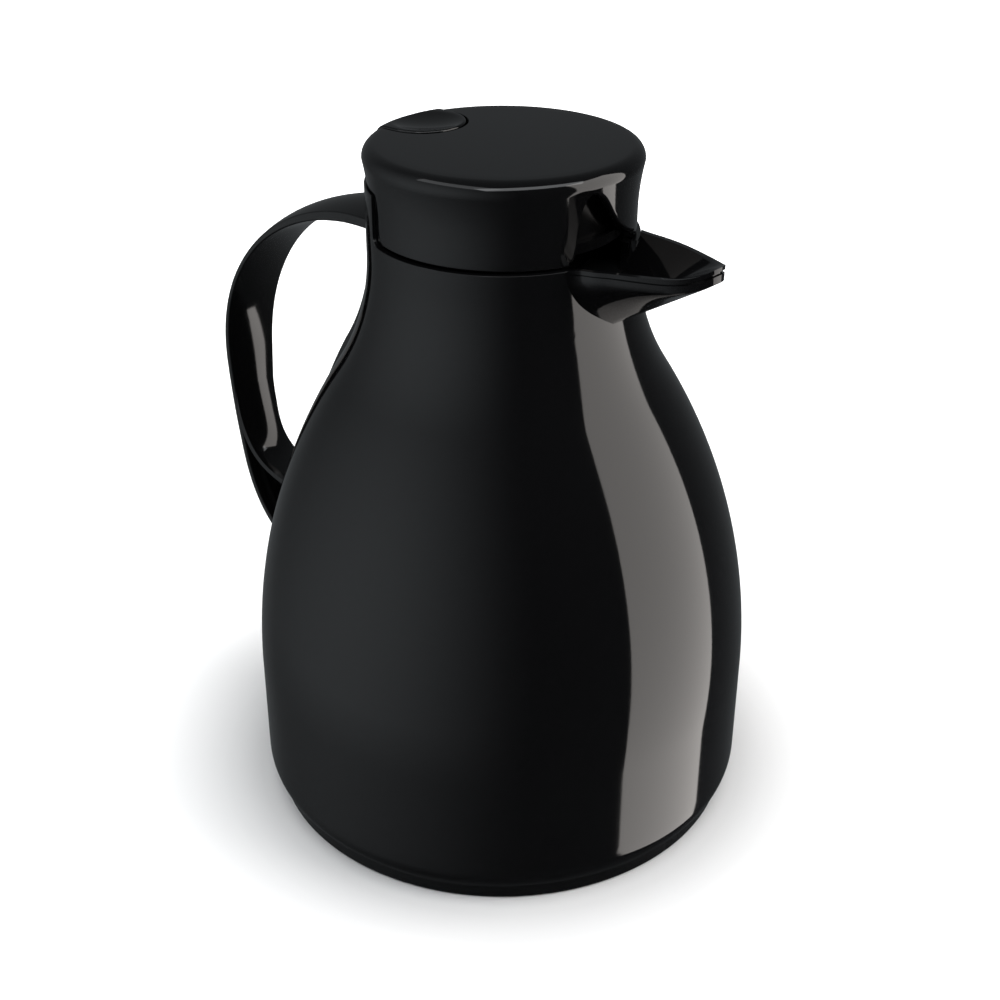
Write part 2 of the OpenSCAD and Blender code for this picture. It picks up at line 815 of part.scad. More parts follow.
outer_shell();
base_cap();
base_screws();
base_cushion();
flask_outer();
flask_inner();
flask_spacers();
mouth_gasket();
pour_collar();
lip_shell();
handle();
handle_screws();
lid_cap();
stopper();
stopper_gasket();
lid_foam();
lid_screws();
thumb_lever();
lever_pin();
valve_stem();
valve_disc();
valve_seal();
valve_spring();
stem_seal();
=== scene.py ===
"""Glossy black insulated jug: lift-off lid, dished thumb lever, keeled pouring lip, ribbon handle."""

import math

import bmesh
import bpy
from mathutils import Matrix, Vector


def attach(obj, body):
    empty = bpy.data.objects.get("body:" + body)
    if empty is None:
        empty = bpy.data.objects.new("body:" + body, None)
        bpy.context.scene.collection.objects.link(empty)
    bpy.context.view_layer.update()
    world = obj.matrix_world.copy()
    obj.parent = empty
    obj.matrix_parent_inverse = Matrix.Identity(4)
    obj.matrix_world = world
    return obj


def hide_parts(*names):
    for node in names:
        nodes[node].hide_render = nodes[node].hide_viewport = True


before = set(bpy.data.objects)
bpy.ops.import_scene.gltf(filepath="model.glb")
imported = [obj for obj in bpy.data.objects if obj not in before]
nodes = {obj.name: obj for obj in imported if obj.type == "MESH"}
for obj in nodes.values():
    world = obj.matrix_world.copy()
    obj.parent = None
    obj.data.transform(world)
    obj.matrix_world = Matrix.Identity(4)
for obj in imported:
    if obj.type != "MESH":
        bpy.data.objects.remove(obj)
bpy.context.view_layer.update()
MM = 0.001
scene = bpy.context.scene

# ------------------------------------------------------------------ sizes, mm
BELLY_R, BELLY_TOP, NECK_R, NECK_Z, BLEND = 81.5, 46.0, 41.0, 186.8, 72.0
PHI = 2 * math.atan((BELLY_R - NECK_R) / (NECK_Z - BELLY_TOP))
BIG = (NECK_Z - BELLY_TOP) / math.sin(PHI) - BLEND
TUCK_R, TUCK_Z = 10.6, 12.5
SHELL_Z, SHELL_TOP, WALL = 6.3, 193.65, 2.2
NOTCH_A, NOTCH_Z, DIP_Z = 62.0, 209.0, 207.585
LID_Z, LID_TOP, LID_R, WAIST_R, WAIST_Z, EDGE = 194.35, 220.0, 41.5, 39.8, 200.35, 4.0
FLARE_Z = LID_TOP - EDGE
FLARE_R = ((LID_R - WAIST_R) ** 2 + (FLARE_Z - WAIST_Z) ** 2) / (2 * (LID_R - WAIST_R))
SEAM, SEAM_GAP, CORNER_R = 194.0, 0.7, 3.0
ARCH_LEFT, ARCH_RIGHT, ARCH_LEAN, ARCH_H, ARCH_ROUND = 22.6, 27.0, 12.0, 19.9, 1.0
PAD_X, PAD_R, PAD_GAP, PAD_BASE = -31.5, 13.0, 0.8, 213.0
DISH_X, DISH_R, DISH_D = -30.0, 10.8, 1.5
LIP_HALF, RIM_W = 21.3, 1.6
# Rim of the lip from inside the neck to the tip: distance from the axis, half width, height
LIP_RIM = ((33.0, 21.1, 195.4), (39.4, 19.7, 195.6), (45.1, 18.5, 195.9), (52.1, 16.5, 196.3), (57.2, 14.9, 196.4),
           (63.7, 12.4, 196.5), (67.7, 10.5, 196.7), (71.1, 8.2, 197.2), (73.4, 6.0, 197.9), (75.1, 3.9, 198.8),
           (76.1, 1.9, 199.4), (76.45, 0.0, 199.6))


def body_r(z, off=0.0):
    """Radius of the body's wall at height z, moved inwards by off."""
    if z < TUCK_Z:
        rr = TUCK_R - off
        return BELLY_R - TUCK_R + math.sqrt(max(rr * rr - (TUCK_Z - z) ** 2, 0.0))
    if z <= BELLY_TOP:
        return BELLY_R - off
    if z <= BELLY_TOP + (BIG - off) * math.sin(PHI):
        return BELLY_R - BIG + math.sqrt((BIG - off) ** 2 - (z - BELLY_TOP) ** 2)
    if z < NECK_Z:
        return NECK_R + BLEND - math.sqrt((BLEND + off) ** 2 - (NECK_Z - z) ** 2)
    return NECK_R - off


def lid_r(z, up=0.0):
    """Radius of the lid's wall at height z."""
    z -= up
    if z < WAIST_Z:
        return WAIST_R
    if z < FLARE_Z:
        return WAIST_R + FLARE_R - math.sqrt(FLARE_R ** 2 - (z - WAIST_Z) ** 2)
    return LID_R - EDGE + math.sqrt(max(EDGE ** 2 - (z - FLARE_Z) ** 2, 0.0))


def bez(p, t):
    """Point of a cubic Bezier curve."""
    s = 1 - t
    w = (s * s * s, 3 * s * s * t, 3 * s * t * t, t * t * t)
    return tuple(sum(w[i] * p[i][k] for i in range(4)) for k in range(len(p[0])))


def pchip(xs, ys, x):
    """Smooth monotone interpolation through a few knots."""
    if x <= xs[0]:
        return ys[0]
    if x >= xs[-1]:
        return ys[-1]
    n = len(xs)
    d = [(ys[i + 1] - ys[i]) / (xs[i + 1] - xs[i]) for i in range(n - 1)]
    inner = [0 if a * b <= 0 else 2 * a * b / (a + b) for a, b in zip(d, d[1:])]
    m = [d[0]] + inner + [d[-1]]
    i = max(k for k in range(n - 1) if xs[k] <= x)
    h = xs[i + 1] - xs[i]
    t = (x - xs[i]) / h
    return ((1 + 2 * t) * (1 - t) ** 2 * ys[i] + t * (1 - t) ** 2 * h * m[i]
            + t * t * (3 - 2 * t) * ys[i + 1] + t * t * (t - 1) * h * m[i + 1])


def lerp(a, b, t):
    return a + (b - a) * t


def steps(a, b, n):
    """n + 1 even values from a to b."""
    return [lerp(a, b, i / n) for i in range(n + 1)]


# ------------------------------------------------------------------ materials
def add_node(tree, kind, values=None, sources=None, **settings):
    """New shader node: its settings, then its constant inputs, then the sockets that feed the others."""
    n = tree.nodes.new("ShaderNode" + kind)
    for key, value in settings.items():
        setattr(n, key, value)
    for key, value in (values or {}).items():
        n.inputs[key].default_value = value
    for key, socket in (sources or {}).items():
        tree.links.new(socket, n.inputs[key])
    return n


def spread(lo, hi, to_lo=0.0, to_hi=1.0):
    """Inputs of a MapRange node."""
    return {"From Min": lo, "From Max": hi, "To Min": to_lo, "To Max": to_hi}


def new_material(name):
    m = bpy.data.materials.new(name)
    m.use_nodes = True
    return m, m.node_tree, m.node_tree.nodes["Principled BSDF"]


GRAIN_DEPTH = 0.0001


def plastic(name, color, tint, rough, grain=900.0, bump=0.02, spec=0.5):
    """Moulded plastic: faint tone changes, uneven gloss and mould grain."""
    m, nt, p = new_material(name)
    where = {"Vector": add_node(nt, "TexCoord").outputs["Object"]}
    broad = add_node(nt, "TexNoise", {"Scale": 14.0, "Detail": 5.0}, where).outputs["Fac"]
    fine = add_node(nt, "TexNoise", {"Scale": grain, "Detail": 3.0}, where).outputs["Fac"]
    tone = add_node(nt, "Mix", {"A": (*color, 1), "B": (*tint, 1)}, {"Factor": broad}, data_type="RGBA")
    gloss = add_node(nt, "MapRange", spread(0.3, 0.7, *rough), {"Value": broad})
    relief = add_node(nt, "Bump", {"Strength": bump, "Distance": GRAIN_DEPTH}, {"Height": fine})
    nt.links.new(tone.outputs["Result"], p.inputs["Base Color"])
    nt.links.new(gloss.outputs["Result"], p.inputs["Roughness"])
    nt.links.new(relief.outputs["Normal"], p.inputs["Normal"])
    p.inputs["Specular IOR Level"].default_value = spec
    return m


def metal(name, color, rough, scale=260.0):
    """Drawn steel: fine lengthwise lines in the gloss."""
    m, nt, p = new_material(name)
    p.inputs["Metallic"].default_value = 1.0
    where = add_node(nt, "TexCoord").outputs["Object"]
    drawn = add_node(nt, "Mapping", {"Scale": (1.0, 1.0, 14.0)}, {"Vector": where}).outputs["Vector"]
    lines = add_node(nt, "TexNoise", {"Scale": scale, "Detail": 4.0}, {"Vector": drawn}).outputs["Fac"]
    gloss = add_node(nt, "MapRange", spread(0.0, 1.0, *rough), {"Value": lines})
    shade = (*[c * 0.86 for c in color], 1)
    tone = add_node(nt, "Mix", {"A": shade, "B": (*color, 1)}, {"Factor": lines}, data_type="RGBA")
    relief = add_node(nt, "Bump", {"Strength": 0.08, "Distance": GRAIN_DEPTH}, {"Height": lines})
    nt.links.new(gloss.outputs["Result"], p.inputs["Roughness"])
    nt.links.new(tone.outputs["Result"], p.inputs["Base Color"])
    nt.links.new(relief.outputs["Normal"], p.inputs["Normal"])
    return m


# Blacks: (colour, tint) of the glossy mouldings and of the duller ones
DEEP = (0.0020, 0.0020, 0.0022), (0.0030, 0.0030, 0.0033)
DULL = (0.0025, 0.0026, 0.0028), (0.004, 0.0041, 0.0043)
GLOSS = plastic("gloss_black", *DEEP, (0.045, 0.075), bump=0.012)
HANDLE = plastic("handle_black", (0.0018, 0.0018, 0.0020), (0.0028, 0.0028, 0.0030), (0.06, 0.10), bump=0.015)
SATIN = plastic("lid_black", *DEEP, (0.05, 0.08), bump=0.012)
FOOT = plastic("foot_black", *DULL, (0.14, 0.22), bump=0.06)
INNER = plastic("inner_black", *DULL, (0.25, 0.36), bump=0.08, spec=0.18)
STOPPER = plastic("stopper_black", *DEEP, (0.12, 0.18), bump=0.02, spec=0.07)
STEEL = metal("steel", (0.62, 0.63, 0.65), (0.18, 0.34))
SILVER = metal("silvered_glass", (0.82, 0.83, 0.85), (0.03, 0.08), 60.0)
RUBBER = plastic("rubber_grey", (0.16, 0.16, 0.165), (0.22, 0.22, 0.225), (0.55, 0.75), 1400.0, 0.2)
FELT = plastic("felt", (0.42, 0.36, 0.28), (0.55, 0.48, 0.38), (0.85, 0.98), 2200.0, 0.6)
FOAM = plastic("foam_white", (0.72, 0.72, 0.70), (0.82, 0.82, 0.80), (0.7, 0.9), 1600.0, 0.5)

CAD_MATERIAL = {
    "outer_shell": GLOSS, "base_cap": FOOT, "base_screws": STEEL, "base_cushion": RUBBER,
    "flask_outer": SILVER, "flask_inner": SILVER, "flask_spacers": FELT, "mouth_gasket": RUBBER,
    "pour_collar": GLOSS, "lip_shell": GLOSS, "handle": HANDLE, "handle_screws": STEEL,
    "lid_cap": SATIN, "stopper": STOPPER, "stopper_gasket": RUBBER, "lid_foam": FOAM,
    "lid_screws": STEEL, "thumb_lever": SATIN, "lever_pin": STEEL, "valve_stem": STEEL,
    "valve_disc": INNER, "valve_seal": RUBBER, "valve_spring": STEEL, "stem_seal": RUBBER,
}
for name, mat in CAD_MATERIAL.items():
    for s in nodes[name].material_slots:
        s.material = mat


# ------------------------------------------------------------------ mesh tools
def bmesh_of(verts, faces, weld):
    """Closed surface through points in millimetres; faces that collapse or repeat are left out."""
    bm = bmesh.new()
    vs = [bm.verts.new((v[0] * MM, v[1] * MM, v[2] * MM)) for v in verts]
    for f in faces:
        if len(set(f)) > 2:
            try:
                bm.faces.new([vs[i] for i in f])
            except ValueError:
                pass
    bmesh.ops.remove_doubles(bm, verts=bm.verts, dist=weld * MM)
    return bm


def make(name, verts, faces, body, mat, slot, stands_for=(), sharp=0.0, weld=0.0005):
    """A smooth-shaded piece; sharp is the angle from which its edges are shaded hard, 0 for none."""
    bm = bmesh_of(verts, faces, weld)
    bmesh.ops.dissolve_degenerate(bm, edges=bm.edges, dist=1e-7)
    bmesh.ops.delete(bm, geom=[e for e in bm.edges if not e.link_faces], context="EDGES")
    bmesh.ops.recalc_face_normals(bm, faces=bm.faces)
    mesh = bpy.data.meshes.new(name)
    bm.to_mesh(mesh)
    bm.free()
    mesh.materials.append(mat)
    obj = bpy.data.objects.new(name, mesh)
    scene.collection.objects.link(obj)
    for p in mesh.polygons:
        p.use_smooth = True
    if sharp:
        mesh.set_sharp_from_angle(angle=math.radians(sharp))
    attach(obj, body)
    if stands_for:
        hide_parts(*stands_for)
    return obj


def soften(obj, width, segments=3, angle=40.0):
    """Rounds the edges of a piece by a real bevel."""
    m = obj.modifiers.new("edge", "BEVEL")
    m.width = width * MM
    m.segments = segments
    m.limit_method = "ANGLE"
    m.angle_limit = math.radians(angle)
    m.harden_normals = True
    m.miter_outer = "MITER_ARC"


def tube_faces(n, m, skip=None):
    """Faces of a tube of n outlines with m points each, closed at both ends; skip leaves one strip out."""
    faces = [(i * m + j, (i + 1) * m + j, (i + 1) * m + (j + 1) % m, i * m + (j + 1) % m)
             for i in range(n - 1) for j in range(m) if j != skip]
    return faces + [tuple(range(m)), tuple(range((n - 1) * m, n * m))[::-1]]


def ring_faces(n, m):
    """Faces of a ring of n outlines with m points each."""
    return [(i * m + j, (i + 1) % n * m + j, (i + 1) % n * m + (j + 1) % m, i * m + (j + 1) % m)
            for i in range(n) for j in range(m)]


def shell_of_cells(thetas, zs, outer, inner, keep, move):
    """Closed wall made of the cells of a turning grid that keep() lets stand; move() shifts its points."""
    verts, index, faces = [], {}, []

    def vid(side, i, j):
        key = (side, i % len(thetas), j)
        if key not in index:
            th, z = move(thetas[i % len(thetas)], zs[j])
            th = math.radians(th)
            r = (outer if side == 0 else inner)(z)
            index[key] = len(verts)
            verts.append((r * math.cos(th), r * math.sin(th), z))
        return index[key]

    n = len(thetas)
    mids = [(thetas[i] + (thetas[(i + 1) % n] + (360 if i == n - 1 else 0))) / 2 for i in range(n)]
    on = [[keep(mids[i], (zs[j] + zs[j + 1]) / 2) for j in range(len(zs) - 1)] for i in range(n)]
    for i in range(n):
        for j in range(len(zs) - 1):
            if not on[i][j]:
                continue
            a, b, c, d = (i, j), (i + 1, j), (i + 1, j + 1), (i, j + 1)
            for side in (0, 1):
                q = tuple(vid(side, *p) for p in (a, b, c, d))
                faces.append(q if side == 0 else q[::-1])
            for (p, q), (ii, jj) in (((a, b), (i, j - 1)), ((c, d), (i, j + 1)),
                                     ((d, a), (i - 1, j)), ((b, c), (i + 1, j))):
                if jj < 0 or jj >= len(zs) - 1 or not on[ii % n][jj]:
                    faces.append((vid(0, *q), vid(0, *p), vid(1, *p), vid(1, *q)))
    return verts, faces


def lathe(profile, n=192):
    """Turned solid of a closed outline of (r, z)."""
    verts = []
    for i in range(n):
        th = 2 * math.pi * i / n
        verts += [(r * math.cos(th), r * math.sin(th), z) for r, z in profile]
    m = len(profile)
    on_axis = [r < 1e-9 for r, z in profile]
    return verts, [f for f in ring_faces(n, m) if not (on_axis[f[0] % m] and on_axis[f[3] % m])]


def cut(obj, verts, faces):
    """Cuts obj by a closed mesh, for good."""
    mesh = bpy.data.meshes.new("tool")
    bm = bmesh_of(verts, faces, 1e-4)
    bmesh.ops.recalc_face_normals(bm, faces=bm.faces)
    bm.to_mesh(mesh)
    bm.free()
    tool = bpy.data.objects.new("tool", mesh)
    scene.collection.objects.link(tool)
    mod = obj.modifiers.new("cut", "BOOLEAN")
    mod.operation = "DIFFERENCE"
    mod.object = tool
    # The second solver steps in where the first one loses most of the piece
    for solver in ("EXACT", "FAST"):
        mod.solver = solver
        bpy.context.view_layer.update()
        dg = bpy.context.evaluated_depsgraph_get()
        new = bpy.data.meshes.new_from_object(obj.evaluated_get(dg))
        if len(new.polygons) > 0.2 * len(obj.data.polygons):
            break
    obj.modifiers.remove(mod)
    bpy.data.objects.remove(tool)
    mats = list(obj.data.materials)
    obj.data = new
    new.materials.clear()
    for m in mats:
        new.materials.append(m)
    for p in new.polygons:
        p.material_index = 0
        p.use_smooth = True


def prism(outline, z0, z1, plane="xy"):
    """Straight prism of an outline; plane xz gives points (x, z) run along y."""
    n = len(outline)
    if plane == "xy":
        verts = [(x, y, z0) for x, y in outline] + [(x, y, z1) for x, y in outline]
    else:
        verts = [(x, z0, z) for x, z in outline] + [(x, z1, z) for x, z in outline]
    faces = [tuple(range(n))[::-1], tuple(range(n, 2 * n))]
    faces += [(i, (i + 1) % n, n + (i + 1) % n, n + i) for i in range(n)]
    return verts, faces


# ------------------------------------------------------------------ body shell
WINDOW_Z, RAMP_Z = 185.0, 183.0
# Half angles of the window behind the lip and of the dip under the thumb pad
WINDOW_A = math.degrees(math.asin((LIP_HALF - 5) / NECK_R))
DIP_A = math.degrees(math.asin((PAD_R + 2.5) / NECK_R))
# The grid has a line at each edge of an opening, and closer lines at the corners of the tongue
EDGE_LINES = [WINDOW_A, 360 - WINDOW_A, 180 - DIP_A, 180 + DIP_A]
NOTCH_LINES = (-2.5, -1.2, 0, 0.15, 0.5, 1.0, 1.7, 2.6, 3.8, 5.2)
EDGE_LINES += [180 + sgn * (NOTCH_A + a) for sgn in (-1, 1) for a in NOTCH_LINES]
TURNS = [t for t in steps(0, 360, 240)[:-1] if min(abs(t - e) for e in EDGE_LINES) > 0.6]
HEIGHTS = (steps(SHELL_Z, TUCK_Z, 6) + steps(TUCK_Z, BELLY_TOP, 8)[1:] + steps(BELLY_TOP, RAMP_Z, 56)[1:]
           + steps(RAMP_Z, WINDOW_Z, 2)[1:] + steps(WINDOW_Z, SHELL_TOP, 6)[1:] + steps(SHELL_TOP, DIP_Z, 7)[1:]
           + [NOTCH_Z - 0.6])


def keep_body(th, z):
    """Whether the wall stands at an angle and a height: open at the window and beside the rear tongue."""
    back = abs((th % 360) - 180)
    if z < WINDOW_Z:
        return True
    if 180 - back < WINDOW_A:
        return False
    if z < SHELL_TOP:
        return True
    return back <= NOTCH_A and (z < DIP_Z or back > DIP_A)


def notch_lift(th, z):
    """Raises the seam's edge into a round corner beside the rear tongue."""
    r, top = CORNER_R + SEAM_GAP, NOTCH_Z - 1
    s = math.radians(abs(th % 360 - 180) - NOTCH_A) * NECK_R
    if z < RAMP_Z or z > top or abs(s) >= r:
        return 0.0
    up = r - math.sqrt(r * r - (r - s) ** 2) if s > 0 else r * (1 + s / r) ** 2
    return up * ((z - RAMP_Z) / (SHELL_TOP - RAMP_Z) if z < SHELL_TOP else (top - z) / (top - SHELL_TOP))


def seat_point(th, z):
    """Moves the shell's points to the round notch corners and the slanted sides of the window behind the lip."""
    front = th - 360 if th > 180 else th
    w = min(max(1 - (abs(front) - WINDOW_A) / 12.0, 0.0), 1.0)
    shrink = pchip([172, 182, 186, 189, 192, SHELL_TOP], [1.0, 0.64, 0.68, 0.81, 0.94, 1.0], z)
    th += front * (shrink - 1) * w
    return th, z + notch_lift(th, z)


v, f = shell_of_cells(sorted(TURNS + EDGE_LINES), HEIGHTS, body_r, lambda z: body_r(z, WALL), keep_body, seat_point)
shell = make("body_shell", v, f, "jug", GLOSS, "body_gloss_black", ("outer_shell",))
soften(shell, 0.7)

# ------------------------------------------------------------------ lid
RECESS_R = NECK_R - WALL - 0.5
LID_INNER = LID_TOP - 2.2


def arch_line(n=26):
    """Outline of the arch on the lid's wall from its left foot to its right foot, as (y, z)."""
    left, right = (sgn * WAIST_R * math.sin(math.radians(a)) for sgn, a in ((-1, ARCH_LEFT), (1, ARCH_RIGHT)))
    ty, tz = -WAIST_R * math.sin(math.radians(ARCH_LEAN)), SEAM + ARCH_H
    rise = ((left, LID_Z + 0.8), (left + 5, LID_Z + 2), (ty - 7, tz + 2.7), (ty, tz))
    fall = ((ty, tz), (ty + 8.1, tz - 3.7), (ty + 6.4, tz - 12.5), (right, LID_Z + 0.8))
    line = [bez(rise, t) for t in steps(0, 1, n)] + [bez(fall, t) for t in steps(0, 1, n)[1:]]
    return [(left, LID_Z)] + line + [(right, LID_Z)]


def turn(y, z):
    """Angle in degrees of the point of the lid's wall at y and z."""
    return math.degrees(math.asin(y / lid_r(z)))


PER_DEGREE = math.radians(1) * WAIST_R
# Beside a foot of the arch the edge turns to the side and its radius shrinks, over these runs
FOOT_RUN, SIDE_RUN, FOOT_ROUND = 4.0, 5.0, 0.5
# In degrees: clearance of the tongue, stretch with closer columns beside the arch and at the notch's corner
TONGUE_GAP, DENSE, CORNER_RUN = 0.9, 8.0, 4.4


def lid_edge():
    """Lower edge of the lid: (angle, height, direction into the wall in mm, edge radius, in the cut-out)."""
    line = [(turn(y, z), z) for y, z in arch_line()]
    out = []
    for k, (th, z) in enumerate(line):
        a, b = line[max(k - 1, 0)], line[min(k + 1, len(line) - 1)]
        tx, tz = (b[0] - a[0]) * PER_DEGREE, b[1] - a[1]
        l = math.hypot(tx, tz)
        nx, nz = -tz / l, tx / l
        far = min(math.hypot((th - e[0]) * PER_DEGREE, z - e[1]) for e in (line[0], line[-1]))
        w = max(0.0, 1 - far / FOOT_RUN)
        if k in (0, len(line) - 1):
            nx, nz = (-1.0 if k == 0 else 1.0), 1.0
        elif w:
            nz = max(nz, w)
        out.append((th, z, nx, nz, lerp(ARCH_ROUND, FOOT_ROUND, w), False))
    a0, a1 = 360 + line[0][0], line[-1][0]
    n0, n1 = 180 - NOTCH_A - TONGUE_GAP, 180 + NOTCH_A + TONGUE_GAP

    def rim(th):
        s = (n0 - th if th <= n0 else th - n1) * PER_DEGREE
        up = CORNER_R - math.sqrt(max(CORNER_R ** 2 - (CORNER_R - s) ** 2, 0.0)) if s < CORNER_R else 0.0
        w = max(0.0, 1 - (th - a1) * PER_DEGREE / SIDE_RUN, 1 - (a0 - th) * PER_DEGREE / SIDE_RUN)
        side = 1.0 if th < 180 else -1.0
        return th, LID_Z + up, side * w, 1.0, FOOT_ROUND, False

    corner = [CORNER_RUN * math.cos(math.radians(a)) for a in steps(0, 90, 12)][1:]
    before = (steps(a1, a1 + DENSE, 12)[1:] + steps(a1 + DENSE, n0 - CORNER_RUN, 36)[1:]
              + [n0 - c for c in corner])
    after = ([n1 + c for c in corner[::-1]] + [n1 + CORNER_RUN] + steps(n1 + CORNER_RUN, a0 - DENSE, 36)[1:]
             + steps(a0 - DENSE, a0, 12)[1:-1])
    out += [rim(t) for t in before]
    out += [(t, LID_Z, 0.0, 1.0, 0.0, True) for t in steps(n0, n1, 80)]
    out += [rim(t) for t in after]
    return out, len(line)


# Thickness of the lid's wall, the same at the cut-out, and rows of points up to the cut-out's top
SKIN, RECESS_SKIN, LOW_ROWS = 2.0, 1.8, 15
# Angle on each side of the arch over which its columns fan out
FAN = 22.0


def lid_mesh():
    """Outside, top and inside of the lid, column by column round its lower edge."""
    edge, arch_n = lid_edge()
    # Over the arch the columns fan out to even steps between two angles at the top
    lo, hi = edge[0][0] - FAN, edge[arch_n - 1][0] + FAN
    order = [i for i in range(len(edge)) if edge[i][0] - 360 > lo] + [i for i in range(len(edge)) if edge[i][0] < hi]
    run, total = {}, 0.0
    last = (lo, LID_Z)
    for i in order:
        th = edge[i][0] - (360 if edge[i][0] > 180 else 0)
        total += math.hypot((th - last[0]) * PER_DEGREE, 0.5 * (edge[i][1] - last[1]))
        run[i] = total
        last = (th, edge[i][1])
    total += (hi - last[0]) * PER_DEGREE
    curl = steps(0, math.pi / 2, 6)
    wall = FLARE_Z - LID_Z
    levels = [(z - LID_Z) / wall for z in steps(LID_Z, NOTCH_Z, 14) + steps(NOTCH_Z, FLARE_Z, 6)[1:]]
    wall_low = len(curl) + LOW_ROWS - 1
    verts, rows = [], 0
    for i, (th, zb, dx, dz, rho, recess) in enumerate(edge):
        top = lo + (hi - lo) * run[i] / total + (360 if th > 180 else 0) if i in run else th
        path = []
        for a in curl:
            d = rho * (1 - math.cos(a))
            path.append((th + dx * d / PER_DEGREE, zb + dz * d, rho * (1 - math.sin(a))))
        start, z0 = path[-1][0], path[-1][1]
        for k, q in enumerate(levels[1:]):
            if i < arch_n:
                z = lerp(z0, FLARE_Z, q)
            elif k + 1 < LOW_ROWS:
                z = lerp(z0, NOTCH_Z, (k + 1) / (LOW_ROWS - 1.0))
            else:
                z = LID_Z + q * wall
            path.append((lerp(start, top, (z - z0) / (FLARE_Z - z0)), z, 0.0))
        pts = []
        for k, (a, z, drop) in enumerate(path):
            r = RECESS_R if recess and k < wall_low else lid_r(z) - drop
            pts.append((a, r, z))
            if k == wall_low - 1:
                pts.append((a, lid_r(z) if recess else r, z))
        for k in range(1, 11):
            a = math.radians(9 * k)
            pts.append((top, LID_R - EDGE + EDGE * math.cos(a), FLARE_Z + EDGE * math.sin(a)))
        pts += [(top, (LID_R - EDGE) * (1 - k / 12), LID_TOP) for k in range(1, 13)]
        pts += [(top, (LID_R - EDGE - 0.6) * k / 7.0, LID_INNER) for k in range(0, 8)]
        for k in range(len(path) - 1, -1, -1):
            a, z, _ = path[k]
            if k == wall_low - 1:
                pts.append((a, lid_r(z) - SKIN, z))
            pts.append((a, RECESS_R - RECESS_SKIN if recess and k < wall_low else lid_r(z) - SKIN, z))
        rows = len(pts)
        verts += [(r * math.cos(math.radians(a)), r * math.sin(math.radians(a)), z) for a, r, z in pts]
    return verts, ring_faces(len(edge), rows)


def pad_outline(extra, n=48):
    """U-shaped outline of the thumb pad, grown by extra and open past the lid's wall."""
    r = PAD_R + extra
    pts = [(PAD_X + r * math.cos(a), r * math.sin(a)) for a in steps(-math.pi / 2, math.pi / 2, n)]
    return pts + [(-LID_R - 8, r), (-LID_R - 8, -r)]


lid = make("lid_cap_skin", *lid_mesh(), "lid", SATIN, "lid_satin_black", ("lid_cap",), weld=0.002)
PAD_CUT = 208.0, 230.0
cut(lid, *prism(pad_outline(PAD_GAP), *PAD_CUT))
soften(lid, 0.35, 3, 38.0)

# ------------------------------------------------------------------ thumb pad
PAD_PROUD, PAD_EDGE = 0.5, 0.7
BALL = (DISH_R ** 2 + DISH_D ** 2) / (2 * DISH_D)


def pad_boundary(ph):
    """Distance from the dish's centre to the pad's edge, at angle ph."""
    c, s = math.cos(ph), math.sin(ph)
    lo, hi = 0.0, 40.0
    for _ in range(40):
        m = (lo + hi) / 2
        x, y = DISH_X + m * c, m * s
        ok = math.hypot(x, y) <= LID_R and abs(y) <= PAD_R and (x <= PAD_X or math.hypot(x - PAD_X, y) <= PAD_R)
        lo, hi = (m, hi) if ok else (lo, m)
    return lo


def edge_gap(x, y):
    """Distance inside the U-shaped outline."""
    if x <= PAD_X:
        return PAD_R - abs(y)
    return PAD_R - math.hypot(x - PAD_X, y)


def pad_height(x, y, blend=0.22):
    """Height of the pad's top: the lid's outside with a round edge, blended into the dish."""
    r = math.hypot(x, y)
    top = LID_TOP + PAD_PROUD
    if r > LID_R - EDGE:
        top = FLARE_Z + PAD_PROUD + math.sqrt(max(EDGE ** 2 - (r - LID_R + EDGE) ** 2, 0.0))
    d = min(max(edge_gap(x, y), 0.0), PAD_EDGE)
    top -= PAD_EDGE - math.sqrt(PAD_EDGE ** 2 - (PAD_EDGE - d) ** 2)
    q = math.hypot(x - DISH_X, y)
    bowl = LID_TOP + PAD_PROUD - DISH_D + BALL - math.sqrt(BALL ** 2 - q * q) if q < 20 else 1e3
    h = min(max(0.5 + 0.5 * (top - bowl) / blend, 0.0), 1.0)
    return lerp(top, bowl, h) - blend * h * (1 - h)


def pad_mesh():
    """Dished top, skirt and flat underside of the pad, in columns round the dish's centre."""
    corner = math.atan2(PAD_R, -math.sqrt(LID_R ** 2 - PAD_R ** 2) - DISH_X)
    side = math.atan2(PAD_R, PAD_X - DISH_X)
    half = steps(0, side, 22) + steps(side, corner, 10)[1:] + steps(corner, math.pi, 14)[1:]
    turns = half + [2 * math.pi - p for p in half[-2:0:-1]]
    shares = [1 - (1 - k / 30.0) ** 1.9 for k in range(1, 31)]
    verts = [(DISH_X, 0, pad_height(DISH_X, 0))]
    for ph in turns:
        e = pad_boundary(ph)
        for u in shares:
            x, y = DISH_X + e * u * math.cos(ph), e * u * math.sin(ph)
            verts.append((x, y, pad_height(x, y)))
    n, m, levels = len(turns), len(shares), 8
    base = len(verts)
    for i in range(n):
        x, y, z = verts[i * m + m]
        r = math.hypot(x, y)
        for low in [lerp(z, PAD_BASE, k / levels) for k in range(1, levels + 1)]:
            # At the rear the skirt follows the lid's wall
            s = lid_r(low, PAD_PROUD) / r if r > LID_R - 0.05 else 1.0
            verts.append((x * s, y * s, low))
    faces = [(0, 1 + (i + 1) % n * m, 1 + i * m) for i in range(n)]
    for i in range(n):
        a, b = 1 + i * m, 1 + (i + 1) % n * m
        faces += [(a + j, b + j, b + j + 1, a + j + 1) for j in range(m - 1)]
    for i in range(n):
        a, b = base + i * levels, base + (i + 1) % n * levels
        faces.append((i * m + m, (i + 1) % n * m + m, b, a))
        faces += [(a + j, b + j, b + j + 1, a + j + 1) for j in range(levels - 1)]
    faces.append(tuple(base + i * levels + levels - 1 for i in range(n)))
    return verts, faces


